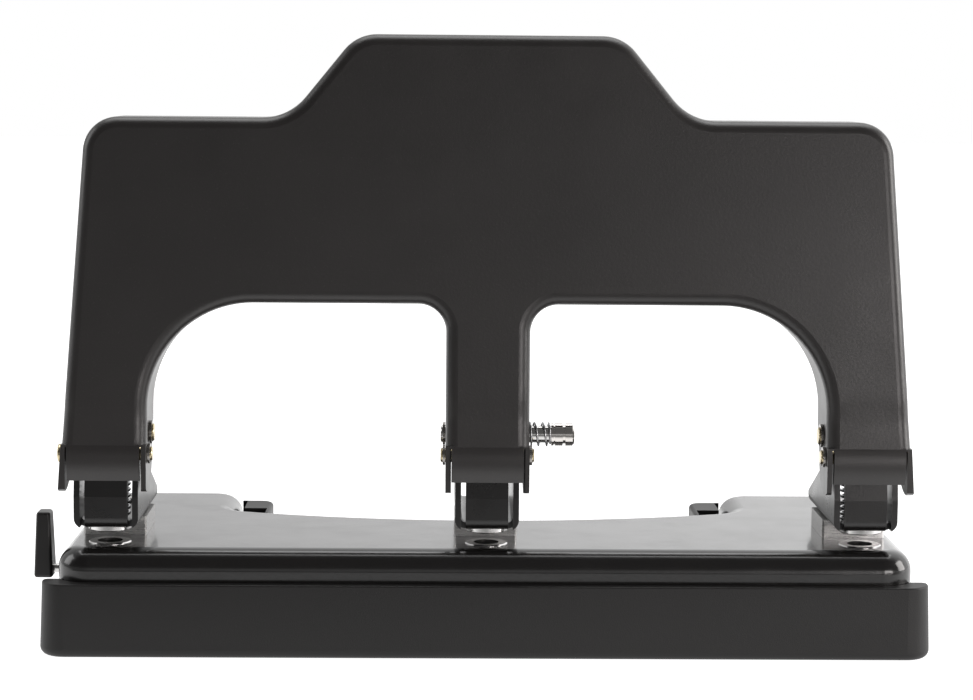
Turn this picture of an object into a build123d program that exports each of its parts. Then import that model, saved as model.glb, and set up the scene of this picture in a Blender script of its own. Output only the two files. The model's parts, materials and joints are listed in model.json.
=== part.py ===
"""Heavy-duty three-hole lever punch, modelled as separate pieces in millimetres.

Frame: +X to the user's right, +Y away from the user, +Z up. The origin is where the axis
of the middle punch meets the underside of the chip tray. The lever stands upright at rest,
and its top tips towards +Y.
"""
import math
import os

from build123d import *

os.makedirs("parts", exist_ok=True)

# ---------------------------------------------------------------- driving dimensions
hole_spacing = 108.0  # three-hole filing pattern, 4.25 in
heads = {"left": -hole_spacing, "centre": 0.0, "right": hole_spacing}

# base plate: a pressed pan with a rounded top edge and two wings behind the outer heads
plate_width = 243.8
plate_front = -14.4
plate_rear = 89.2
plate_top = 30.0
plate_sheet = 2.0
plate_edge_radius = 6.0
plate_corner_radius = 9.0
notch_corner_radius = 8.0
skirt_bottom = 15.0
notch_half_width = 76.2  # cut-out between the two wings
notch_side_y = 57.0  # rear edge beside the wings
notch_middle_y = 42.2  # rear edge on the centre line

# chip tray: walls flush with the plate, and a bumper along the front and round its corners
tray_bottom = 0.0
tray_wall = 2.2
tray_floor = 2.6
tray_inset = 0.3
tray_edge_radius = 3.0
bumper_margin = 4.65  # how far the bumper stands out beyond the plate
bumper_top = 21.0
bumper_rear = -8.5
bumper_gap = 0.3
bumper_front_radius = 7.5
bumper_rear_radius = 2.5
bumper_draft = 2.0  # degrees that its sides lean in towards the top
tab_length = 24.0  # finger tabs beside the wings' inner edges
tab_width = 10.2
tab_rear = 77.0
tab_top = 29.0
tab_gap = 0.4
tab_rim = 1.3  # rim left round the tab's pocket
tab_corner_radius = 4.0
pocket_width = 1.9
pocket_front = 9.0
tab_pocket_depth = 6.0

# lever pivot and drive pins
pivot_y = -6.2
pivot_z = plate_top + 26.5
drive_y = pivot_y + 5.2
drive_z = pivot_z + 5.4
drive_reach = math.hypot(drive_y - pivot_y, drive_z - pivot_z)
pivot_radius = 2.0
drive_radius = 2.45
running_gap = 0.05
fixed_gap = 0.02

# punch heads
punch_y = 0.0
punch_radius = 3.57  # 9/32 in hole
punch_tip_z = 34.4
bracket_width = 18.2
bracket_sheet = 1.7
bracket_front = -9.3
bracket_rear = 39.6
bracket_fold_radius = 3.0
throat = 5.3
web_bottom = plate_top + throat
web_top = web_bottom + bracket_sheet
front_tab_bend_z = 44.4  # above it the tab leans back behind the lever
front_tab_top = 49.6
front_tab_lean = 0.9
front_tab_half = 6.05
boss_radius = 3.1
bush_radius = 6.1
bush_body_radius = 4.7
bush_flange = 1.5
bush_top = 40.5
die_rise = 0.4
die_bottom = 23.0
spacer_front = 10.9
spacer_rear = 32.8
rivet_ys = (16.0, 27.0)
rivet_radius = 2.0
rivet_head_radius = 3.2
rivet_head_height = 1.6

# lever: one stamped sheet with flanges towards the rear
lever_sheet = 1.6
lever_lean = 5.0  # degrees that the arm leans back
lever_lean_z = 82.0  # the straight arm starts here, and its face lies at lever_lean_y
lever_lean_y = -9.5
lever_waist = ((-10.25, 72.0), (-10.25, 67.5), (-10.6, 64.0))  # soft bend above the legs' feet
crease_y = -11.2
crease_z = 59.6
flange_rear_y = 8.6
lever_edge_radius = 3.4
lever_foot_z = 40.0  # below the ears; the ears' own curve trims it
lever_half_foot = 121.7
lever_half_shoulder = 114.1
shoulder_z = 151.6
shoulder_radius = 10.0
grip_z = 175.3
grip_half_top = 37.6
grip_half_base = 56.8
grip_top_radius = 12.0
grip_base_radius = 16.0
arch_z = 99.5
arch_outer_radius = 30.0
arch_inner_radius = 8.0
leg_inner = 96.4
centre_leg_half = 11.9
ear_radius = 10.8
tab_slit = 0.5
tab_half = 10.2
tab_bulge_radius = 13.0  # the tab between the ears is curved about this centre
tab_bulge_centre = (1.0, 55.0)
tab_bottom_z = 49.3
tab_slit_top = 59.0

# return springs, their washers, and the slotted punch heads
spring_wire_radius = 0.4
spring_mean_radius = 5.6
spring_turns = 11.5
washer_thickness = 1.0
washer_radius = 6.6
yoke_width = 12.4
yoke_thickness = 7.0
slot_below = drive_radius + 0.1
slot_above = drive_radius + 0.65
slot_half_length = (drive_reach - (drive_y - pivot_y)) / 2 + drive_radius + 0.35
yoke_bottom = drive_z - slot_below - 2.2
yoke_top = drive_z + slot_above + 2.0

# edge guide
guide_y = 9.6
guide_z = 20.2
guide_rod_radius = 1.35
guide_rod_end = -60.0
flag_outer = -131.0
flag_inner = -125.5
flag_bottom = 18.0
flag_top = 37.2
flag_half_depth = 4.0
flag_taper = 2.2  # degrees
rod_guide_x = -88.0
rod_guide_sheet = 1.5

# retaining clips and the plunger of the middle head
stud_head_radius = 3.0
outer_head_radius = 2.65
stud_head_height = 0.9
clip_thickness = 0.7
clip_radius = 2.9
clip_groove_depth = 0.5
clip_gap = 0.12
head_gap = 0.25  # under a rivet head, because the outer flange leans
pin_overhang = 0.6
knob_inner = 18.3
knob_outer = 24.9
knob_radius = 3.3
plunger_wire_radius = 0.3
plunger_spring_radius = 3.25
plunger_spring_turns = 2.5


def finish(piece, label):
    """Name a finished piece and write its file."""
    piece.part.label = label
    export_step(piece.part, f"parts/{label}.step")


def outer_edge(z):
    """Half width of the lever at height z, measured to the outer legs' outer faces."""
    taper = (lever_half_foot - lever_half_shoulder) / (shoulder_z - lever_foot_z)
    return lever_half_foot - taper * (z - lever_foot_z)


def leg_faces(x):
    """Outer faces of a leg's two flanges at the height of the pins, as (left, right)."""
    if x == 0:
        return -centre_leg_half, centre_leg_half
    outside = outer_edge(pivot_z)
    return (-outside, -leg_inner) if x < 0 else (leg_inner, outside)


# ---------------------------------------------------------------- base plate and tray plan
with BuildSketch() as plate_plan:
    with BuildLine():
        Polyline(
            (-notch_half_width, notch_side_y),
            (-notch_half_width, plate_rear),
            (-plate_width / 2, plate_rear),
            (-plate_width / 2, plate_front),
            (plate_width / 2, plate_front),
            (plate_width / 2, plate_rear),
            (notch_half_width, plate_rear),
            (notch_half_width, notch_side_y),
        )
        ThreePointArc(
            (notch_half_width, notch_side_y),
            (0, notch_middle_y),
            (-notch_half_width, notch_side_y),
        )
    make_face()
    notch_corners = plate_plan.vertices().filter_by_position(
        Axis.Y, plate_front + 1, plate_rear - 1
    )
    fillet(notch_corners, notch_corner_radius)
    outer_corners = plate_plan.vertices().filter_by_position(
        Axis.Y, plate_rear - 0.1, plate_rear + 0.1
    ) + plate_plan.vertices().filter_by_position(Axis.Y, plate_front - 0.1, plate_front + 0.1)
    fillet(outer_corners, plate_corner_radius)


def plan_at(z, margin):
    """Sketch of the plate's plan at height z, grown by margin (shrunk if negative)."""
    with BuildSketch(Plane.XY.offset(z)) as plan:
        add(plate_plan.sketch)
        if margin:
            offset(amount=margin)
    return plan.sketch


plate_blank = plan_at(skirt_bottom, 0)
plate_hollow = plan_at(skirt_bottom, -plate_sheet)
tray_blank = plan_at(tray_bottom, -tray_inset)
tray_hollow = plan_at(tray_bottom + tray_floor, -tray_inset - tray_wall)
bumper_seat = plan_at(tray_bottom, bumper_gap)


with BuildPart() as plate_cavity:
    extrude(plate_hollow, amount=plate_top - plate_sheet - skirt_bottom)
    fillet(plate_cavity.faces().sort_by(Axis.Z)[-1].edges(), plate_edge_radius - plate_sheet)

with BuildPart() as base_plate:
    extrude(plate_blank, amount=plate_top - skirt_bottom)
    fillet(base_plate.faces().sort_by(Axis.Z)[-1].edges(), plate_edge_radius)
    add(plate_cavity.part, mode=Mode.SUBTRACT)
    with Locations(*[(x, punch_y, plate_top) for x in heads.values()]):
        Hole(radius=bush_radius, depth=plate_sheet)
    with Locations(*[(x, y, plate_top) for x in heads.values() for y in rivet_ys]):
        Hole(radius=rivet_radius, depth=plate_sheet)
    with BuildSketch(Plane.YZ.offset(-plate_width / 2 - 1)):
        with Locations((guide_y, guide_z)):
            Circle(guide_rod_radius + 0.1)
    extrude(amount=plate_sheet + 2, mode=Mode.SUBTRACT)
finish(base_plate, "base_plate")

# ---------------------------------------------------------------- chip tray
with BuildPart() as bumper:
    bumper_half = plate_width / 2 + bumper_margin
    bumper_front = plate_front - bumper_margin
    with BuildSketch(Plane.XY.offset(tray_bottom)) as bumper_plan:
        with Locations((0, (bumper_front + bumper_rear) / 2)):
            Rectangle(2 * bumper_half, bumper_rear - bumper_front)
        fillet(bumper_plan.vertices().group_by(Axis.Y)[0], bumper_front_radius)
        fillet(bumper_plan.vertices().group_by(Axis.Y)[-1], bumper_rear_radius)
    extrude(amount=bumper_top - tray_bottom, taper=bumper_draft)
    fillet(bumper.faces().sort_by(Axis.Z)[0].edges(), tray_edge_radius - 0.6)
    fillet(bumper.faces().sort_by(Axis.Z)[-1].edges(), 0.5)
    extrude(bumper_seat, amount=plate_top, mode=Mode.SUBTRACT)

tab_seat = plan_at(skirt_bottom, tab_gap)


def make_finger_tab(side):
    """Lug in the corner of the notch, with an L-shaped pocket beside the plate."""
    tab_inner = notch_half_width - tab_width
    tab_front = tab_rear - tab_length
    tab_base = tray_bottom + tray_edge_radius
    with BuildPart() as finger_tab:
        with BuildSketch(Plane.XY.offset(tab_base)) as tab_plan:
            with Locations((side * (notch_half_width + 0.6 - tab_width / 2), (tab_front + tab_rear) / 2)):
                Rectangle(tab_width + 1.2, tab_length)
            rear_corners = tab_plan.vertices().group_by(Axis.Y)[-1].sort_by(Axis.X)
            fillet(rear_corners[0] if side > 0 else rear_corners[-1], tab_corner_radius)
        extrude(amount=tab_top - tab_base)
        fillet(finger_tab.faces().sort_by(Axis.Z)[-1].edges(), 1.2)
        extrude(tab_seat, amount=plate_top - skirt_bottom, mode=Mode.SUBTRACT)
        with BuildSketch(Plane.XY.offset(tab_top)):
            side_length = tab_rear - tab_rim - tab_front
            with Locations((side * (notch_half_width - pocket_width / 2), tab_front + side_length / 2)):
                Rectangle(pocket_width, side_length)
            pocket_reach = tab_width - tab_rim
            pocket_centre = side * (tab_inner + tab_rim + pocket_reach / 2)
            with Locations((pocket_centre, tab_front + pocket_front / 2)):
                Rectangle(pocket_reach, pocket_front)
        extrude(amount=-tab_pocket_depth, mode=Mode.SUBTRACT)
    return finger_tab.part


with BuildPart() as chip_tray:
    extrude(tray_blank, amount=skirt_bottom - tray_bottom)
    fillet(chip_tray.faces().sort_by(Axis.Z)[0].edges(), tray_edge_radius)
    for side in (-1, 1):
        add(make_finger_tab(side))
    add(bumper.part)
    # the bumper and the tray's front wall are one solid below the plate's skirt
    with BuildSketch(Plane.XY.offset(tray_bottom + tray_edge_radius)):
        with Locations((0, plate_front)):
            Rectangle(plate_width - 2 * bumper_front_radius, 2 * tray_wall - 1)
    extrude(amount=skirt_bottom - tray_bottom - tray_edge_radius)
    extrude(tray_hollow, amount=skirt_bottom - tray_bottom - tray_floor, mode=Mode.SUBTRACT)
finish(chip_tray, "chip_tray")

# ---------------------------------------------------------------- punch head brackets
drive_path = CenterArc((pivot_y, pivot_z), drive_reach, -31, 92)


def make_bracket(x):
    """Folded U-shaped bracket: web below, two cheeks, and a narrow front tab."""
    with BuildPart() as bracket:
        with BuildSketch(Plane.XZ.offset(-bracket_rear)):
            with BuildLine():
                half = bracket_width / 2
                FilletPolyline(
                    (x - half, pivot_z + 10),
                    (x - half, web_bottom),
                    (x + half, web_bottom),
                    (x + half, pivot_z + 10),
                    radius=bracket_fold_radius,
                )
                Line((x + half, pivot_z + 10), (x + half - bracket_sheet, pivot_z + 10))
                FilletPolyline(
                    (x + half - bracket_sheet, pivot_z + 10),
                    (x + half - bracket_sheet, web_top),
                    (x - half + bracket_sheet, web_top),
                    (x - half + bracket_sheet, pivot_z + 10),
                    radius=bracket_fold_radius - bracket_sheet,
                )
                Line((x - half + bracket_sheet, pivot_z + 10), (x - half, pivot_z + 10))
            make_face()
        extrude(amount=bracket_rear - bracket_front)
        # side outline of both cheeks, with the boss round the pivot
        with BuildSketch(Plane.YZ) as side_view:
            with BuildLine():
                Polyline(
                    (bracket_front, web_bottom),
                    (bracket_rear, web_bottom),
                    (bracket_rear, plate_top + 9.5),
                    (pivot_y + 11, pivot_z - 1.5),
                    (pivot_y, pivot_z + boss_radius),
                    (pivot_y - boss_radius, pivot_z),
                    (bracket_front + front_tab_lean, front_tab_top),
                    (bracket_front, front_tab_bend_z),
                    (bracket_front, web_bottom),
                )
            make_face()
            corners = side_view.vertices().group_by(Axis.Y)[-1]
            fillet(corners, 4.0)
            with Locations((pivot_y, pivot_z)):
                Circle(boss_radius)
            SlotArc(drive_path, 2 * (drive_radius + 0.5), mode=Mode.SUBTRACT)
        extrude(amount=2 * hole_spacing, both=True, mode=Mode.INTERSECT)
        # slits beside the front tab, then the tab folded up out of the web
        with BuildSketch(Plane.XY.offset(web_bottom)):
            with Locations((x, bracket_front)):
                Rectangle(bracket_width - 2 * bracket_sheet, 8)
        extrude(amount=bracket_fold_radius, mode=Mode.SUBTRACT)
        with BuildSketch(Plane.YZ.offset(x)):
            with BuildLine():
                outer_foot = (bracket_front, front_tab_bend_z)
                outer_top = (bracket_front + front_tab_lean, front_tab_top)
                inner_foot = (bracket_front + bracket_sheet, front_tab_bend_z)
                inner_top = (outer_top[0] + bracket_sheet, front_tab_top)
                FilletPolyline(
                    (bracket_front + 4, web_bottom),
                    (bracket_front, web_bottom),
                    outer_foot,
                    radius=bracket_fold_radius,
                )
                Polyline(outer_foot, outer_top, inner_top, inner_foot)
                FilletPolyline(
                    inner_foot,
                    (bracket_front + bracket_sheet, web_top),
                    (bracket_front + 4, web_top),
                    radius=bracket_fold_radius - bracket_sheet,
                )
                Line((bracket_front + 4, web_top), (bracket_front + 4, web_bottom))
            make_face()
        extrude(amount=front_tab_half, both=True)
        with Locations((x, punch_y, web_top)):
            Hole(radius=bush_body_radius, depth=bracket_sheet)
        with Locations(*[(x, y, web_top) for y in rivet_ys]):
            Hole(radius=rivet_radius, depth=bracket_sheet)
        with BuildSketch(Plane.YZ.offset(x)):
            with Locations((pivot_y, pivot_z)):
                Circle(pivot_radius + fixed_gap)
        extrude(amount=bracket_width, both=True, mode=Mode.SUBTRACT)
    return bracket


def make_die(x):
    """Hardened ring set in the plate; its bore takes the punch with a close clearance."""
    with BuildPart() as die:
        with BuildSketch(Plane((x, punch_y, 0), x_dir=(1, 0, 0), z_dir=(0, -1, 0))):
            with BuildLine():
                Polyline(
                    (punch_radius + 0.04, die_bottom + 4),
                    (punch_radius + 0.04, plate_top + die_rise),
                    (bush_radius - 0.3, plate_top + die_rise),
                    (bush_radius, plate_top + die_rise - 0.3),
                    (bush_radius, plate_top - plate_sheet),
                    (bush_radius - 0.8, plate_top - plate_sheet),
                    (bush_radius - 0.8, die_bottom),
                    (punch_radius + 0.5, die_bottom),
                    (punch_radius + 0.04, die_bottom + 4),
                )
            make_face()
        revolve(axis=Axis((x, punch_y, 0), (0, 0, 1)))
    return die


def make_bush(x):
    """Flanged guide bush under the web, which holds the punch upright."""
    with BuildPart() as bush:
        with BuildSketch(Plane((x, punch_y, 0), x_dir=(1, 0, 0), z_dir=(0, -1, 0))):
            with BuildLine():
                Polyline(
                    (punch_radius + running_gap, web_bottom - bush_flange),
                    (bush_radius - 0.3, web_bottom - bush_flange),
                    (bush_radius, web_bottom - bush_flange + 0.3),
                    (bush_radius, web_bottom),
                    (bush_body_radius, web_bottom),
                    (bush_body_radius, bush_top - 0.4),
                    (bush_body_radius - 0.4, bush_top),
                    (punch_radius + running_gap, bush_top),
                    (punch_radius + running_gap, web_bottom - bush_flange),
                )
            make_face()
        revolve(axis=Axis((x, punch_y, 0), (0, 0, 1)))
    return bush


def make_spacer(x):
    """Bare steel block between plate and bracket; its front face stops the paper."""
    with BuildPart() as spacer:
        with BuildSketch(Plane.XY.offset(plate_top)):
            with Locations((x, (spacer_front + spacer_rear) / 2)):
                Rectangle(bracket_width, spacer_rear - spacer_front)
        extrude(amount=throat)
        chamfer(spacer.edges().filter_by(Axis.Z), 0.5)
        with Locations(*[(x, y, web_bottom) for y in rivet_ys]):
            Hole(radius=rivet_radius, depth=throat)
    return spacer


def make_punch(x):
    """Punch rod with a hollow-ground tip and a flat head slotted for the drive pin."""
    with BuildPart() as punch:
        with BuildSketch(Plane.XY.offset(punch_tip_z)):
            with Locations((x, punch_y)):
                Circle(punch_radius)
        extrude(amount=yoke_bottom + 1 - punch_tip_z)
        # shallow V across the tip, so that the cut starts at two sides
        with BuildSketch(Plane.YZ.offset(x)):
            with BuildLine():
                Polyline(
                    (punch_y - punch_radius - 1, punch_tip_z - 0.5),
                    (punch_y, punch_tip_z + 1.2),
                    (punch_y + punch_radius + 1, punch_tip_z - 0.5),
                    (punch_y - punch_radius - 1, punch_tip_z - 0.5),
                )
            make_face()
        extrude(amount=punch_radius + 1, both=True, mode=Mode.SUBTRACT)
        with BuildSketch(Plane.YZ.offset(x)) as head_view:
            with BuildLine():
                Polyline(
                    (punch_y - yoke_width / 2, yoke_bottom),
                    (punch_y + yoke_width / 2, yoke_bottom),
                    (punch_y + yoke_width / 2, yoke_top),
                    (punch_y - yoke_width / 2, yoke_top),
                    (punch_y - yoke_width / 2, yoke_bottom),
                )
            make_face()
            fillet(head_view.vertices().group_by(Axis.Y)[-1], 2.4)
        extrude(amount=yoke_thickness / 2, both=True)
        with BuildSketch(Plane.YZ.offset(x)) as slot_view:
            slot_height = slot_below + slot_above
            with Locations((punch_y, drive_z + (slot_above - slot_below) / 2)):
                SlotOverall(2 * slot_half_length, slot_height)
        extrude(amount=yoke_thickness, both=True, mode=Mode.SUBTRACT)
    return punch


def make_washer(x):
    """Flat washer between the punch head and its spring."""
    with BuildPart() as washer:
        with BuildSketch(Plane.XY.offset(yoke_bottom - washer_thickness)):
            with Locations((x, punch_y)):
                Circle(washer_radius)
                Circle(punch_radius + 0.15, mode=Mode.SUBTRACT)
        extrude(amount=washer_thickness)
    return washer


def make_coil(start, direction, length, mean_radius, wire_radius, turns):
    """Coil spring of round wire that starts at a point and runs along a direction."""
    seat_gap = wire_radius + 0.02
    run = length - 2 * seat_gap
    centre = Vector(*start) + Vector(*direction) * seat_gap
    with BuildPart() as coil:
        with BuildLine() as wire_path:
            Helix(run / turns, run, mean_radius, center=centre, direction=direction)
        with BuildSketch(Plane(origin=wire_path.line @ 0, z_dir=wire_path.line % 0)):
            Circle(wire_radius)
        sweep(path=wire_path.line, is_frenet=True)
    return coil


for side, head_x in heads.items():
    finish(make_bracket(head_x), f"bracket_{side}")
    finish(make_die(head_x), f"die_{side}")
    finish(make_bush(head_x), f"guide_bush_{side}")
    finish(make_spacer(head_x), f"spacer_{side}")
    finish(make_punch(head_x), f"punch_{side}")
    finish(make_washer(head_x), f"spring_washer_{side}")
    punch_spring = make_coil(
        (head_x, punch_y, web_top),
        (0, 0, 1),
        yoke_bottom - washer_thickness - web_top,
        spring_mean_radius,
        spring_wire_radius,
        spring_turns,
    )
    finish(punch_spring, f"punch_spring_{side}")

with BuildPart() as bracket_rivets:
    for rivet_x in heads.values():
        for rivet_y in rivet_ys:
            with BuildSketch(Plane.XY.offset(plate_top - plate_sheet - rivet_head_height)):
                with Locations((rivet_x, rivet_y)):
                    Circle(rivet_head_radius - 0.4)
            extrude(amount=rivet_head_height)
            with BuildSketch(Plane.XY.offset(plate_top - plate_sheet)):
                with Locations((rivet_x, rivet_y)):
                    Circle(rivet_radius)
            extrude(amount=web_top - plate_top + plate_sheet)
            with BuildSketch(Plane.XY.offset(web_top)):
                with Locations((rivet_x, rivet_y)):
                    Circle(rivet_head_radius)
            extrude(amount=rivet_head_height)
    fillet(bracket_rivets.faces().group_by(Axis.Z)[-1].edges(), 1.2)
finish(bracket_rivets, "bracket_rivets")


# ---------------------------------------------------------------- lever
ear_start_z = pivot_z - math.sqrt(ear_radius**2 - (pivot_y - crease_y) ** 2)


def lever_side(y_shift, rear_margin, ears):
    """Side outline of the lever in YZ; the front line is moved back by y_shift."""
    slope = math.tan(math.radians(lever_lean))
    top_z = grip_z + 2
    lean_foot = (lever_lean_y + y_shift, lever_lean_z)
    front_top = (lean_foot[0] + (top_z - lever_lean_z) * slope, top_z)
    crease = (crease_y + y_shift, crease_z)
    waist = [(y + y_shift, z) for y, z in lever_waist]
    rear_y = flange_rear_y + rear_margin
    rear_foot = (rear_y, pivot_z + 8)
    rear_top = (rear_y + front_top[0] - crease[0], top_z)
    with BuildSketch(Plane.YZ) as side_view:
        with BuildLine():
            if ears:
                start = (crease_y, ear_start_z)
                ThreePointArc(
                    start,
                    (pivot_y, pivot_z - ear_radius),
                    (pivot_y + ear_radius, pivot_z),
                )
                Line((pivot_y + ear_radius, pivot_z), rear_foot)
            else:
                start = (crease[0], lever_foot_z - 5)
                Polyline(start, (rear_y, lever_foot_z - 5), rear_foot)
            Polyline(rear_foot, rear_top, front_top, lean_foot)
            Spline(lean_foot, *waist, crease, tangents=[(-slope, -1), (-0.15, -1)])
            Line(crease, start)
        make_face()
    return side_view.sketch


def lever_front_view(inset):
    """Front outline of the lever, shrunk by inset, facing the user."""
    with BuildSketch(Plane.XZ.offset(80)) as view:
        with BuildLine():
            Polyline(
                (0, grip_z),
                (grip_half_top, grip_z),
                (grip_half_base, shoulder_z),
                (lever_half_shoulder, shoulder_z),
                (lever_half_foot, lever_foot_z),
                (leg_inner, lever_foot_z),
                (leg_inner, arch_z),
                (centre_leg_half, arch_z),
                (centre_leg_half, lever_foot_z),
                (0, lever_foot_z),
            )
            mirror(about=Plane.YZ)
        make_face()
        for half_x, z, radius in (
            (grip_half_top, grip_z, grip_top_radius),
            (grip_half_base, shoulder_z, grip_base_radius),
            (lever_half_shoulder, shoulder_z, shoulder_radius),
            (leg_inner, arch_z, arch_outer_radius),
            (centre_leg_half, arch_z, arch_inner_radius),
        ):
            level = view.vertices().filter_by_position(Axis.Y, z - 0.1, z + 0.1)
            fillet([p for p in level if abs(abs(p.X) - half_x) < 0.1], radius)
        if inset:
            offset(amount=-inset)
    return view.sketch


def front_rim(piece, lowest):
    """Edges round the front face, without the joins inside it or the legs' lower ends."""
    front = piece.faces().filter_by(lambda face: face.normal_at(face.center()).Y < -0.9)
    rim = []
    for edge in front.edges():
        shared = sum(1 for face in front if edge in face.edges())
        if shared == 1 and edge.center().Z > lowest:
            rim.append(edge)
    return rim


def rounded(blank, radius):
    """The blank with its front rim rounded down to the crease above the ears."""
    level = Plane.XY.offset(crease_z)
    with BuildPart() as upper:
        add(blank)
        split(bisect_by=level, keep=Keep.TOP)
        fillet(front_rim(upper, crease_z + 0.5), radius)
    with BuildPart() as lower:
        add(blank)
        split(bisect_by=level, keep=Keep.BOTTOM)
    with BuildPart() as whole:
        add(upper.part)
        add(lower.part)
    return whole.part


def make_leg_tab(centre):
    """Curved tab at the foot of a leg, between its ears."""
    with BuildPart() as leg_tab:
        with BuildSketch(Plane.YZ.offset(centre)):
            with Locations(tab_bulge_centre):
                Circle(tab_bulge_radius)
                Circle(tab_bulge_radius - lever_sheet, mode=Mode.SUBTRACT)
            tab_top_z = tab_slit_top + 0.8
            with Locations((lever_lean_y - 1, (tab_bottom_z + tab_top_z) / 2)):
                Rectangle(8, tab_top_z - tab_bottom_z, mode=Mode.INTERSECT)
        extrude(amount=tab_half, both=True)
    return leg_tab.part


with BuildPart() as cavity_blank:
    extrude(lever_front_view(lever_sheet), amount=-120)
    extrude(lever_side(lever_sheet, 5, False), amount=200, both=True, mode=Mode.INTERSECT)

with BuildPart() as lever_blank:
    extrude(lever_front_view(0), amount=-120)
    extrude(lever_side(0, 0, True), amount=200, both=True, mode=Mode.INTERSECT)

tab_centres = {
    side: 0.0 if side == "centre" else sum(leg_faces(x)) / 2 for side, x in heads.items()
}

with BuildPart() as lever:
    add(rounded(lever_blank.part, lever_edge_radius))
    add(rounded(cavity_blank.part, lever_edge_radius - lever_sheet), mode=Mode.SUBTRACT)
    for side, head_x in heads.items():
        centre = tab_centres[side]
        # the sheet between the ears gives way to the tab, with a slit on each side of it
        with BuildSketch(Plane.XZ.offset(-lever_lean_y)):
            with Locations((centre, (tab_slit_top + lever_foot_z - 5) / 2)):
                Rectangle(2 * (tab_half + tab_slit), tab_slit_top - lever_foot_z + 5)
        extrude(amount=4, mode=Mode.SUBTRACT)
        add(make_leg_tab(centre))
        gap = running_gap if side == "centre" else fixed_gap
        with BuildSketch(Plane.YZ.offset(head_x)):
            with Locations((pivot_y, pivot_z)):
                Circle(pivot_radius + running_gap)
            with Locations((drive_y, drive_z)):
                Circle(drive_radius + gap)
        extrude(amount=16, both=True, mode=Mode.SUBTRACT)
finish(lever, "lever")


# ---------------------------------------------------------------- pins and clips
# how far a pin reaches beyond the flange's face, for each kind of end
end_reach = {
    "clip": clip_gap + clip_thickness + pin_overhang,
    "head": head_gap,
    "flush": -0.1,
}


def make_stud(x, face_x, outward, end):
    """Pivot stud through one cheek and one flange; a flat head lies inside the cheek."""
    inside = x + outward * (bracket_width / 2 - bracket_sheet)
    length = abs(face_x - inside) + end_reach[end]
    with BuildPart() as stud:
        with BuildSketch(Plane.YZ.offset(inside - outward * stud_head_height)):
            with Locations((pivot_y, pivot_z)):
                Circle(stud_head_radius)
        extrude(amount=outward * stud_head_height)
        with BuildSketch(Plane.YZ.offset(inside)):
            with Locations((pivot_y, pivot_z)):
                Circle(pivot_radius)
        extrude(amount=outward * length)
        end_face = stud.faces().sort_by(Axis.X)[-1 if outward > 0 else 0]
        if end == "clip":
            chamfer(end_face.edges(), 0.25)
            with BuildSketch(Plane.YZ.offset(face_x + outward * clip_gap)):
                with Locations((pivot_y, pivot_z)):
                    Circle(pivot_radius + 1)
                    Circle(pivot_radius - clip_groove_depth, mode=Mode.SUBTRACT)
            extrude(amount=outward * clip_thickness, mode=Mode.SUBTRACT)
        elif end == "head":
            with BuildSketch(Plane.YZ.offset(face_x + outward * head_gap)):
                with Locations((pivot_y, pivot_z)):
                    Circle(outer_head_radius)
            extrude(amount=outward * stud_head_height)
            fillet(stud.faces().sort_by(Axis.X)[-1 if outward > 0 else 0].edges(), 0.5)
    return stud.part


def make_pin(y, z, radius, left, right, left_end, right_end):
    """Cross pin along X; each end lies flush in the flange or has a groove for a clip."""
    with BuildPart() as pin:
        x_start = left - end_reach[left_end]
        x_stop = right + end_reach[right_end]
        with BuildSketch(Plane.YZ.offset(x_start)):
            with Locations((y, z)):
                Circle(radius)
        extrude(amount=x_stop - x_start)
        chamfer(pin.faces().filter_by(Axis.X).edges(), 0.25)
        for end, face_x, outward in ((left_end, left, -1), (right_end, right, 1)):
            if end == "clip":
                groove_x = face_x + outward * clip_gap
                with BuildSketch(Plane.YZ.offset(groove_x)):
                    with Locations((y, z)):
                        Circle(radius + 1)
                        Circle(radius - clip_groove_depth, mode=Mode.SUBTRACT)
                extrude(amount=outward * clip_thickness, mode=Mode.SUBTRACT)
    return pin


def make_clip(y, z, pin_radius, face_x, outward):
    """Open retaining ring with three lugs that sits in a pin's groove."""
    grip = pin_radius - clip_groove_depth + fixed_gap
    lug_reach = pin_radius + 0.5
    with BuildPart() as clip:
        with BuildSketch(Plane.YZ.offset(face_x + outward * clip_gap)):
            with Locations((y, z)):
                Circle(clip_radius + pin_radius - pivot_radius)
                Circle(pin_radius + 0.1, mode=Mode.SUBTRACT)
            for angle in (90, 210, 330):
                lug = math.radians(angle)
                middle = (grip + lug_reach) / 2
                with Locations((y + middle * math.cos(lug), z + middle * math.sin(lug))):
                    Rectangle(lug_reach - grip, 1.1, rotation=angle)
            with Locations((y, z)):
                Circle(grip, mode=Mode.SUBTRACT)
            with Locations((y, z - pin_radius - 1)):
                Rectangle(1.6 * grip, 2 * pin_radius, mode=Mode.SUBTRACT)
        extrude(amount=outward * clip_thickness)
    return clip.part


stud_ends = {"left": ("head", "clip"), "centre": ("clip", "clip"), "right": ("clip", "flush")}
pin_ends = {"left": ("flush", "clip"), "right": ("clip", "flush")}

for side, head_x in heads.items():
    face_left, face_right = leg_faces(head_x)
    studs = [
        make_stud(head_x, face_left, -1, stud_ends[side][0]),
        make_stud(head_x, face_right, 1, stud_ends[side][1]),
    ]
    with BuildPart() as pivot_studs:
        add(studs)
    finish(pivot_studs, f"pivot_studs_{side}")
    if side != "centre":
        drive_pin = make_pin(
            drive_y, drive_z, drive_radius, face_left, face_right, *pin_ends[side]
        )
        finish(drive_pin, f"drive_pin_{side}")

clip_faces = [
    (face_x, outward)
    for side, head_x in heads.items()
    for face_x, outward, end in (
        (leg_faces(head_x)[0], -1, stud_ends[side][0]),
        (leg_faces(head_x)[1], 1, stud_ends[side][1]),
    )
    if end == "clip"
]

pivot_rings = [make_clip(pivot_y, pivot_z, pivot_radius, *face) for face in clip_faces]
with BuildPart() as pivot_clips:
    add(pivot_rings)
finish(pivot_clips, "pivot_clips")

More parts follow.
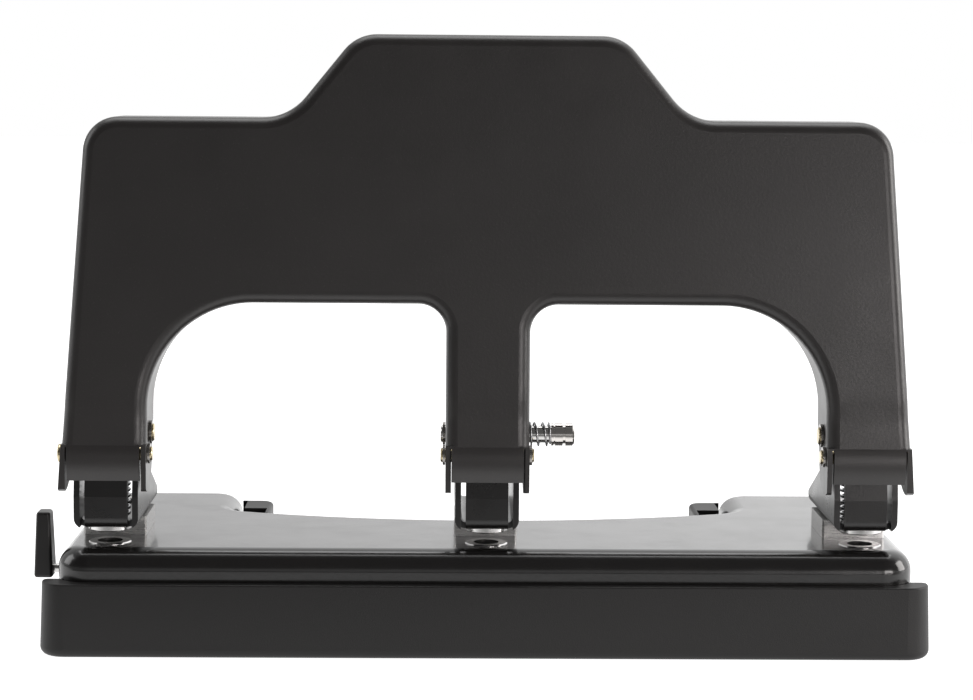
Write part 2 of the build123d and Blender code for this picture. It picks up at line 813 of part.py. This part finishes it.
drive_rings = [
    make_clip(drive_y, drive_z, drive_radius, *face)
    for face in clip_faces
    if abs(face[0]) > centre_leg_half
]
with BuildPart() as drive_clips:
    add(drive_rings)
finish(drive_clips, "drive_clips")

# ---------------------------------------------------------------- plunger of the middle head
plunger_left = -centre_leg_half - clip_gap - clip_thickness - pin_overhang

with BuildPart() as plunger:
    with BuildSketch(Plane.YZ.offset(plunger_left)):
        with Locations((drive_y, drive_z)):
            Circle(drive_radius)
    extrude(amount=knob_inner + 4 - plunger_left)
    chamfer(plunger.faces().filter_by(Axis.X).edges(), 0.25)
    with BuildSketch(Plane.YZ.offset(-centre_leg_half - clip_gap)):
        with Locations((drive_y, drive_z)):
            Circle(drive_radius + 1)
            Circle(drive_radius - clip_groove_depth, mode=Mode.SUBTRACT)
    extrude(amount=-clip_thickness, mode=Mode.SUBTRACT)
finish(plunger, "plunger")

with BuildPart() as plunger_clip:
    add(make_clip(drive_y, drive_z, drive_radius, -centre_leg_half, -1))
finish(plunger_clip, "plunger_clip")

with BuildPart() as plunger_knob:
    groove_x = (knob_inner + knob_outer) / 2
    with BuildSketch(Plane.XY.offset(drive_z)):
        with BuildLine():
            profile = [
                (knob_inner, 0),
                (knob_inner, knob_radius),
                (knob_inner + 0.7, knob_radius),
                (knob_inner + 0.7, knob_radius - 0.35),
                (knob_inner + 1.1, knob_radius - 0.35),
                (knob_inner + 1.1, knob_radius),
                (groove_x, knob_radius),
                (groove_x, knob_radius - 0.6),
                (groove_x + 0.75, knob_radius - 0.6),
                (groove_x + 0.75, knob_radius),
                (knob_outer - 0.5, knob_radius),
                (knob_outer, knob_radius - 0.5),
                (knob_outer, 0),
                (knob_inner, 0),
            ]
            Polyline([(x, drive_y + radius) for x, radius in profile])
        make_face()
    revolve(axis=Axis((0, drive_y, drive_z), (1, 0, 0)))
    with BuildSketch(Plane.YZ.offset(knob_inner - 1)):
        with Locations((drive_y, drive_z)):
            Circle(drive_radius)
    extrude(amount=5, mode=Mode.SUBTRACT)
finish(plunger_knob, "plunger_knob")

plunger_spring = make_coil(
    (centre_leg_half, drive_y, drive_z),
    (1, 0, 0),
    knob_inner - centre_leg_half,
    plunger_spring_radius,
    plunger_wire_radius,
    plunger_spring_turns,
)
finish(plunger_spring, "plunger_spring")

# ---------------------------------------------------------------- edge guide
with BuildPart() as guide_rod:
    with BuildSketch(Plane.YZ.offset(flag_outer + 1.5)):
        with Locations((guide_y, guide_z)):
            Circle(guide_rod_radius)
    extrude(amount=guide_rod_end - flag_outer - 1.5)
    with BuildSketch(Plane.YZ.offset(guide_rod_end - 2)):
        with Locations((guide_y, guide_z)):
            Circle(guide_rod_radius + 1)
            Circle(guide_rod_radius - clip_groove_depth, mode=Mode.SUBTRACT)
    extrude(amount=clip_thickness, mode=Mode.SUBTRACT)
finish(guide_rod, "guide_rod")

with BuildPart() as guide_flag:
    with BuildSketch(Plane.XY.offset(flag_bottom)):
        with Locations(((flag_outer + flag_inner) / 2, guide_y)):
            Rectangle(flag_inner - flag_outer, 2 * flag_half_depth)
    extrude(amount=flag_top - flag_bottom, taper=flag_taper)
    fillet(guide_flag.edges(), 0.9)
    with BuildSketch(Plane.YZ.offset(flag_outer + 1.5)):
        with Locations((guide_y, guide_z)):
            Circle(guide_rod_radius)
    extrude(amount=6, mode=Mode.SUBTRACT)
finish(guide_flag, "guide_flag")

with BuildPart() as guide_rod_clip:
    with BuildSketch(Plane.YZ.offset(guide_rod_end - 2)):
        with Locations((guide_y, guide_z)):
            Circle(guide_rod_radius + 1.4)
            Circle(guide_rod_radius - clip_groove_depth + fixed_gap, mode=Mode.SUBTRACT)
        with Locations((guide_y, guide_z - 2.5)):
            Rectangle(1.4, 5, mode=Mode.SUBTRACT)
    extrude(amount=clip_thickness)
finish(guide_rod_clip, "guide_rod_clip")

with BuildPart() as rod_guide:
    ceiling = plate_top - plate_sheet
    with BuildSketch(Plane.XZ.offset(-guide_y - 5)):
        with BuildLine():
            FilletPolyline(
                (rod_guide_x, guide_z - 4.5),
                (rod_guide_x, ceiling),
                (rod_guide_x + 12, ceiling),
                radius=2.0 + rod_guide_sheet / 2,
            )
            Line((rod_guide_x + 12, ceiling), (rod_guide_x + 12, ceiling - rod_guide_sheet))
            FilletPolyline(
                (rod_guide_x + 12, ceiling - rod_guide_sheet),
                (rod_guide_x + rod_guide_sheet, ceiling - rod_guide_sheet),
                (rod_guide_x + rod_guide_sheet, guide_z - 4.5),
                radius=2.0 - rod_guide_sheet / 2,
            )
            Line(
                (rod_guide_x + rod_guide_sheet, guide_z - 4.5),
                (rod_guide_x, guide_z - 4.5),
            )
        make_face()
    extrude(amount=10)
    with BuildSketch(Plane.YZ.offset(rod_guide_x - 1)):
        with Locations((guide_y, guide_z)):
            Circle(guide_rod_radius + 0.1)
    extrude(amount=4, mode=Mode.SUBTRACT)
finish(rod_guide, "rod_guide")
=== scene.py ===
"""Looks of the three-hole lever punch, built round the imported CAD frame, in metres."""
import json
import math

import bmesh
import bpy
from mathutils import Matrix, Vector


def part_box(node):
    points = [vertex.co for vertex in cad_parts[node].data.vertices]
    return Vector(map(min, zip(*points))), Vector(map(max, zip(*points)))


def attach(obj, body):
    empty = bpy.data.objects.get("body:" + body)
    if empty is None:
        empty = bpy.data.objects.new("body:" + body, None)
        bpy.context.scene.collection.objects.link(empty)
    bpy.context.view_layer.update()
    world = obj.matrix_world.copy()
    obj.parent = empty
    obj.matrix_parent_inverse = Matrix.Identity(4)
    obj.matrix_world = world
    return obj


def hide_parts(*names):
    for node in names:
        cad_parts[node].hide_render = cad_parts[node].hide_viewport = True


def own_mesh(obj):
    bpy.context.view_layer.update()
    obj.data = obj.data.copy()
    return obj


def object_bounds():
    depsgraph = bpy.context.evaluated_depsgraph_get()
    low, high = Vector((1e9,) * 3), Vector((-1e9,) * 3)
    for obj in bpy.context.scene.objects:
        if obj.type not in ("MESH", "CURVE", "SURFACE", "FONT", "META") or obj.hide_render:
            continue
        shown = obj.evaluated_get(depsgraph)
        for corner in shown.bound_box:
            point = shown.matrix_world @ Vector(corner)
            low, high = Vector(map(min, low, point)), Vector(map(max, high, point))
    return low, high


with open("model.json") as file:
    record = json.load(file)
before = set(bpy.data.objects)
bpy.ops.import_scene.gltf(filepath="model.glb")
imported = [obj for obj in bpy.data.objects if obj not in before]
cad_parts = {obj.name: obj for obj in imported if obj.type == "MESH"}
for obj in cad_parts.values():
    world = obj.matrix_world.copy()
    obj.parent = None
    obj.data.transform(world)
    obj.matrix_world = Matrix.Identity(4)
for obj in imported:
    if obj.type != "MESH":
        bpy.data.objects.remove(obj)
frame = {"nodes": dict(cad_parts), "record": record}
cad_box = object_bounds()

MM = 0.001
SIDES = ("left", "centre", "right")
FLOOR_WHITE_Y = -0.07  # the floor is white behind this line
FLOOR_DIM_Y = -0.2  # and dim in front of this one
FLOOR_DIM = 0.05
FLOOR_HALF_WIDTH = 6
ROOM_FRONT = 0.10  # brightness of the room behind the camera
ROOM_HORIZON = 0.7  # and of a band just above its horizon
nodes = frame["nodes"]


# ---------------------------------------------------------------- node helpers
class Tree:
    """A material's node tree, with one method for each kind of node used below."""

    def __init__(self, name):
        self.material = bpy.data.materials.new(name)
        self.material.use_nodes = True
        self.tree = self.material.node_tree
        self.shader = self.tree.nodes["Principled BSDF"]
        self.place = self.add("ShaderNodeTexCoord").outputs["Object"]

    def add(self, kind, **settings):
        node = self.tree.nodes.new(kind)
        for key, value in settings.items():
            setattr(node, key, value)
        return node

    def feed(self, socket, value):
        """Set a socket to a plain value, or link it to another node's output."""
        if isinstance(value, bpy.types.NodeSocket):
            self.tree.links.new(value, socket)
        else:
            socket.default_value = value

    def stretched(self, scale):
        mapping = self.add("ShaderNodeMapping")
        self.feed(mapping.inputs["Vector"], self.place)
        mapping.inputs["Scale"].default_value = scale
        return mapping.outputs["Vector"]

    def noise(self, scale, detail=3.0, roughness=0.5, vector=None):
        node = self.add("ShaderNodeTexNoise")
        self.feed(node.inputs["Vector"], vector or self.place)
        node.inputs["Scale"].default_value = scale
        node.inputs["Detail"].default_value = detail
        node.inputs["Roughness"].default_value = roughness
        return node.outputs["Fac"]

    def cells(self, scale):
        node = self.add("ShaderNodeTexVoronoi")
        self.feed(node.inputs["Vector"], self.place)
        node.inputs["Scale"].default_value = scale
        return node.outputs["Distance"]

    def span(self, value, low, high, to_low, to_high):
        node = self.add("ShaderNodeMapRange")
        self.feed(node.inputs["Value"], value)
        for name, number in (
            ("From Min", low),
            ("From Max", high),
            ("To Min", to_low),
            ("To Max", to_high),
        ):
            node.inputs[name].default_value = number
        return node.outputs["Result"]

    def blend(self, factor, first, second):
        node = self.add("ShaderNodeMix", data_type="RGBA")
        self.feed(node.inputs["Factor"], factor)
        self.feed(node.inputs["A"], first)
        self.feed(node.inputs["B"], second)
        return node.outputs["Result"]

    def bump(self, height, strength, distance, normal=None):
        node = self.add("ShaderNodeBump")
        node.inputs["Strength"].default_value = strength
        node.inputs["Distance"].default_value = distance
        self.feed(node.inputs["Height"], height)
        if normal is not None:
            self.feed(node.inputs["Normal"], normal)
        return node.outputs["Normal"]

    def edges(self, radius, low, high):
        """Mask that is 1 on convex and concave edges and 0 on open faces."""
        bevel = self.add("ShaderNodeBevel", samples=4)
        bevel.inputs["Radius"].default_value = radius
        normal = self.add("ShaderNodeNewGeometry").outputs["Normal"]
        dot = self.add("ShaderNodeVectorMath", operation="DOT_PRODUCT")
        self.feed(dot.inputs[0], bevel.outputs["Normal"])
        self.feed(dot.inputs[1], normal)
        return self.span(dot.outputs["Value"], high, low, 0.0, 1.0)


def grey(value, tint=(1.0, 1.0, 1.0)):
    return (value * tint[0], value * tint[1], value * tint[2], 1.0)


# ---------------------------------------------------------------- materials
WARM = (1.10, 1.0, 0.97)


EDGE_RADIUS = 0.5 * MM  # how near an edge the paint is rubbed
DUST_COVER = 0.25
DUST_LEVEL = 4  # times as light as the paint


def paint(name, level, rough, coat, peel, edge_level):
    """Sprayed black paint: faint cloudiness, orange peel, fine dust, thin rubbed edges."""
    t = Tree(name)
    cloud = t.noise(35.0, 4.0)
    dust = t.span(t.noise(2600.0, 2.0), 0.62, 0.8, 0.0, DUST_COVER)
    body = t.blend(cloud, grey(level * 0.8, WARM), grey(level * 1.25, WARM))
    body = t.blend(dust, body, grey(level * DUST_LEVEL, WARM))
    worn = t.edges(EDGE_RADIUS, 0.80, 0.97)
    patchy = t.add("ShaderNodeMath", operation="MULTIPLY")
    t.feed(patchy.inputs[0], worn)
    t.feed(patchy.inputs[1], t.span(t.noise(220.0, 3.0), 0.45, 0.7, 0.0, 0.6))
    t.feed(t.shader.inputs["Base Color"], t.blend(patchy.outputs[0], body, grey(edge_level)))
    smear = t.span(t.noise(60.0, 5.0, 0.6), 0.3, 0.7, rough - 0.03, rough + 0.05)
    t.feed(t.shader.inputs["Roughness"], smear)
    fine = t.bump(t.noise(3800.0, 2.0), 0.25, 0.00002)
    t.feed(t.shader.inputs["Normal"], t.bump(t.noise(peel, 2.0), 0.3, 0.00008, fine))
    t.shader.inputs["Coat Weight"].default_value = coat
    t.shader.inputs["Coat Roughness"].default_value = 0.05
    return t.material


def plastic(name, level, rough, grain, depth):
    """Moulded black plastic with a fine pebbled grain and faint flow marks."""
    t = Tree(name)
    flow = t.noise(14.0, 5.0, 0.6, t.stretched((1.0, 1.0, 3.0)))
    t.feed(
        t.shader.inputs["Base Color"],
        t.blend(flow, grey(level * 0.82, WARM), grey(level * 1.2, WARM)),
    )
    t.feed(t.shader.inputs["Roughness"], t.span(flow, 0.3, 0.7, rough - 0.04, rough + 0.06))
    pebbles = t.bump(t.cells(grain), 0.5, depth)
    t.feed(t.shader.inputs["Normal"], t.bump(t.noise(grain * 0.4, 3.0), 0.3, depth, pebbles))
    t.shader.inputs["Specular IOR Level"].default_value = 0.35
    return t.material


STREAK_SCALE = 60.0
STAIN_DARKNESS = 0.72


def metal(name, colour, rough, stretch):
    """Bare or plated metal with fine streaks, long where stretch is small, and faint stains."""
    t = Tree(name)
    t.shader.inputs["Metallic"].default_value = 1.0
    lines = t.noise(STREAK_SCALE, 6.0, 0.7, t.stretched(stretch))
    blotch = t.noise(180.0, 3.0)
    dark = tuple(c * STAIN_DARKNESS for c in colour) + (1.0,)
    body = t.blend(lines, dark, tuple(colour) + (1.0,))
    stained = t.span(blotch, 0.55, 0.8, 0.0, 0.35)
    t.feed(t.shader.inputs["Base Color"], t.blend(stained, body, dark))
    t.feed(t.shader.inputs["Roughness"], t.span(lines, 0.3, 0.7, rough * 0.8, rough * 1.25))
    t.feed(t.shader.inputs["Normal"], t.bump(lines, 0.2, 0.00003))
    return t.material


finishes = {
    "lever_paint": paint("lever_powder_coat", 0.021, 0.32, 0.0, 1300.0, 0.05),
    "base_paint": paint("base_gloss_enamel", 0.008, 0.19, 0.3, 700.0, 0.05),
    "bracket_paint": paint("bracket_paint", 0.006, 0.28, 0.0, 1500.0, 0.12),
    "tray_plastic": plastic("tray_plastic", 0.006, 0.46, 2600.0, 0.00004),
    "flag_plastic": plastic("flag_plastic", 0.012, 0.30, 3200.0, 0.00002),
    "rivet_steel": metal("rivet_zinc", (0.50, 0.49, 0.47), 0.35, (1, 1, 1)),
    "ground_steel": metal("ground_steel", (0.72, 0.71, 0.70), 0.16, (8, 8, 400)),
    "spacer_steel": metal("bright_zinc", (0.70, 0.69, 0.68), 0.28, (4, 120, 120)),
    "spring_steel": metal("spring_wire", (0.50, 0.50, 0.51), 0.25, (30, 30, 30)),
    "punch_steel": metal("punch_steel", (0.58, 0.57, 0.56), 0.18, (8, 8, 400)),
    "yellow_zinc": metal("yellow_zinc", (0.66, 0.56, 0.36), 0.24, (40, 40, 40)),
    "clip_steel": metal("clip_steel", (0.40, 0.38, 0.36), 0.26, (40, 40, 40)),
    "knob_chrome": metal("knob_nickel", (0.80, 0.77, 0.74), 0.14, (400, 8, 8)),
}

slot_of = {entry["node"]: entry["material_slot"] for entry in frame["record"]["subparts"]}
for name, piece in nodes.items():
    piece.data.materials.clear()
    piece.data.materials.append(finishes[slot_of[name]])


# ---------------------------------------------------------------- springs
STEPS_PER_TURN = 40
RING = 10  # corners round the wire
CLOSED_TURNS = 0.8  # how much of a turn lies flat at each end
CLOSED_RISE = 2.1  # wire radii that the flat turn climbs


def coil(name, start, direction, length, mean_radius, wire, turns, slot):
    """Compression spring with closed end turns, swept in mesh code along its own helix."""
    along = Vector(direction).normalized()
    across = along.orthogonal().normalized()
    third = along.cross(across)
    total = int(turns * STEPS_PER_TURN)
    closed_share = CLOSED_TURNS / turns
    end_rise = CLOSED_RISE * wire
    open_rise = length - 2 * wire - 2 * end_rise
    mesh = bmesh.new()
    rings = []
    for i in range(total + 1):
        share = i / total
        if share < closed_share:
            rise = end_rise * share / closed_share
        elif share > 1 - closed_share:
            rise = end_rise + open_rise + end_rise * (share - 1 + closed_share) / closed_share
        else:
            rise = end_rise + open_rise * (share - closed_share) / (1 - 2 * closed_share)
        angle = 2 * math.pi * i / STEPS_PER_TURN
        out = across * math.cos(angle) + third * math.sin(angle)
        centre = Vector(start) + out * mean_radius + along * (wire + rise)
        loop = []
        for k in range(RING):
            a = 2 * math.pi * k / RING
            spoke = out * math.cos(a) + along * math.sin(a)
            loop.append(mesh.verts.new(centre + spoke * wire))
        rings.append(loop)
    for first, second in zip(rings, rings[1:]):
        for k in range(RING):
            after = (k + 1) % RING
            mesh.faces.new((first[k], first[after], second[after], second[k]))
    mesh.faces.new(list(reversed(rings[0])))
    mesh.faces.new(rings[-1])
    bmesh.ops.recalc_face_normals(mesh, faces=mesh.faces)
    data = bpy.data.meshes.new(name)
    mesh.to_mesh(data)
    mesh.free()
    data.materials.append(finishes[slot])
    data.shade_smooth()
    piece = bpy.data.objects.new(name, data)
    bpy.context.scene.collection.objects.link(piece)
    return piece


RETURN_WIRE = 0.4 * MM
RETURN_TURNS = 11.5
for side in SIDES:
    low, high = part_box(f"punch_spring_{side}")
    foot = ((low.x + high.x) / 2, (low.y + high.y) / 2, low.z)
    height = high.z - low.z
    mean_radius = (high.x - low.x) / 2 - RETURN_WIRE
    spring = coil(
        f"return_coil_{side}",
        foot,
        (0, 0, 1),
        height,
        mean_radius,
        RETURN_WIRE,
        RETURN_TURNS,
        "spring_steel",
    )
    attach(spring, "base")
    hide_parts(f"punch_spring_{side}")
    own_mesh(spring)

PLUNGER_WIRE = 0.3 * MM
PLUNGER_TURNS = 3.5
low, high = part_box("plunger_spring")
foot = (low.x, (low.y + high.y) / 2, (low.z + high.z) / 2)
height = high.x - low.x
mean_radius = (high.z - low.z) / 2 - PLUNGER_WIRE
spring = coil(
    "plunger_coil",
    foot,
    (1, 0, 0),
    height,
    mean_radius,
    PLUNGER_WIRE,
    PLUNGER_TURNS,
    "spring_steel",
)
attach(spring, "lever")
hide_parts("plunger_spring")
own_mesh(spring)

# ---------------------------------------------------------------- floor, lights and camera
floor_mesh = bpy.data.meshes.new("floor")
corners = [
    (x * FLOOR_HALF_WIDTH, y * FLOOR_HALF_WIDTH, 0)
    for x, y in ((-1, -1), (1, -1), (1, 1), (-1, 1))
]
floor_mesh.from_pydata(corners, [], [(0, 1, 2, 3)])
floor = bpy.data.objects.new("floor", floor_mesh)
bpy.context.scene.collection.objects.link(floor)
# painted light: the floor glows white under and behind the punch, so no contact shadow shows
# there, and is painted dim towards the user as painted shade for the punch to reflect
floor_look = Tree("floor")
across_floor = floor_look.add("ShaderNodeSeparateXYZ")
floor_look.feed(across_floor.inputs["Vector"], floor_look.place)
whiteness = floor_look.span(
    across_floor.outputs["Y"], FLOOR_DIM_Y, FLOOR_WHITE_Y, FLOOR_DIM, 1.0
)
# painted shade: dark greys with faint noise on the dim front of the floor
dim_floor_shade = floor_look.blend(floor_look.noise(3.0, 2.0), grey(0.08), grey(0.12))
tone = floor_look.blend(whiteness, dim_floor_shade, grey(0.35))
floor_look.feed(floor_look.shader.inputs["Base Color"], tone)
# painted light: the floor glows where its whiteness mask is high
floor_look.feed(floor_look.shader.inputs["Emission Strength"], whiteness)
floor_look.shader.inputs["Emission Color"].default_value = (1.0, 1.0, 1.0, 1.0)
floor_look.shader.inputs["Roughness"].default_value = 0.6
floor_look.shader.inputs["Specular IOR Level"].default_value = 0.1
floor_mesh.materials.append(floor_look.material)

scene = bpy.context.scene
scene.view_settings.view_transform = "Standard"

# the room: white behind the punch, dark behind the camera but for a band just above the
# horizon, and brighter towards the right
world = bpy.data.worlds.new("studio")
scene.world = world
world.use_nodes = True
room = world.node_tree
background = room.nodes["Background"]
split = room.nodes.new("ShaderNodeSeparateXYZ")
room.links.new(room.nodes.new("ShaderNodeTexCoord").outputs["Generated"], split.inputs[0])


def room_ramp(axis, low, high, to_low, to_high):
    ramp = room.nodes.new("ShaderNodeMapRange")
    room.links.new(split.outputs[axis], ramp.inputs["Value"])
    for key, number in (
        ("From Min", low),
        ("From Max", high),
        ("To Min", to_low),
        ("To Max", to_high),
    ):
        ramp.inputs[key].default_value = number
    return ramp.outputs["Result"]


both = room.nodes.new("ShaderNodeMath")
both.operation = "MULTIPLY"
brighter = room.nodes.new("ShaderNodeMath")
brighter.operation = "MAXIMUM"
room.links.new(room_ramp("Y", -0.25, 0.35, ROOM_FRONT, 1.0), brighter.inputs[0])
room.links.new(room_ramp("Z", 0.0, 0.2, ROOM_HORIZON, ROOM_FRONT), brighter.inputs[1])
room.links.new(brighter.outputs[0], both.inputs[0])
room.links.new(room_ramp("X", -0.4, 0.4, 0.65, 1.55), both.inputs[1])
shown = room.nodes.new("ShaderNodeMix")
ray = room.nodes.new("ShaderNodeLightPath")
room.links.new(ray.outputs["Is Camera Ray"], shown.inputs["Factor"])
room.links.new(both.outputs[0], shown.inputs["A"])
shown.inputs["B"].default_value = 1.0
room.links.new(shown.outputs["Result"], background.inputs["Strength"])
background.inputs["Color"].default_value = (1.0, 1.0, 1.0, 1.0)


def softbox(name, place, target, size, power, colour=(1.0, 1.0, 1.0)):
    light = bpy.data.lights.new(name, "AREA")
    light.shape = "RECTANGLE"
    light.size, light.size_y = size
    light.energy = power
    light.color = colour
    lamp = bpy.data.objects.new(name, light)
    scene.collection.objects.link(lamp)
    lamp.location = place
    aim = Vector(target) - Vector(place)
    lamp.rotation_mode = "QUATERNION"
    lamp.rotation_quaternion = aim.to_track_quat("-Z", "Y")


middle = (cad_box[0] + cad_box[1]) / 2
softbox("right_softbox", (1.2, -0.12, 0.45), middle, (0.6, 0.8), 10.0, (1.0, 0.97, 0.95))
softbox("left_softbox", (-1.2, 0.1, 0.6), middle, (0.6, 0.8), 4.0)
softbox("top_softbox", (0.0, 0.35, 1.5), middle, (1.6, 0.9), 12.0)
softbox("low_right_fill", (0.75, -1.3, 0.12), middle, (0.7, 0.4), 6.0, (1.0, 0.95, 0.94))

CAMERA_PLACE = (-0.014851, -0.70091, 0.162575)
CAMERA_DOWN = 6.236  # degrees
CAMERA_RIGHT = 1.130
CAMERA_ROLL = 0.496
LENS_MM = 91.29  # on a 36 mm wide sensor

lens = bpy.data.cameras.new("camera")
lens.sensor_width = 36.0
lens.lens = LENS_MM
camera = bpy.data.objects.new("camera", lens)
scene.collection.objects.link(camera)
camera.location = CAMERA_PLACE
camera.rotation_euler = (
    math.radians(90 - CAMERA_DOWN),
    math.radians(-CAMERA_ROLL),
    math.radians(-CAMERA_RIGHT),
)
scene.camera = camera
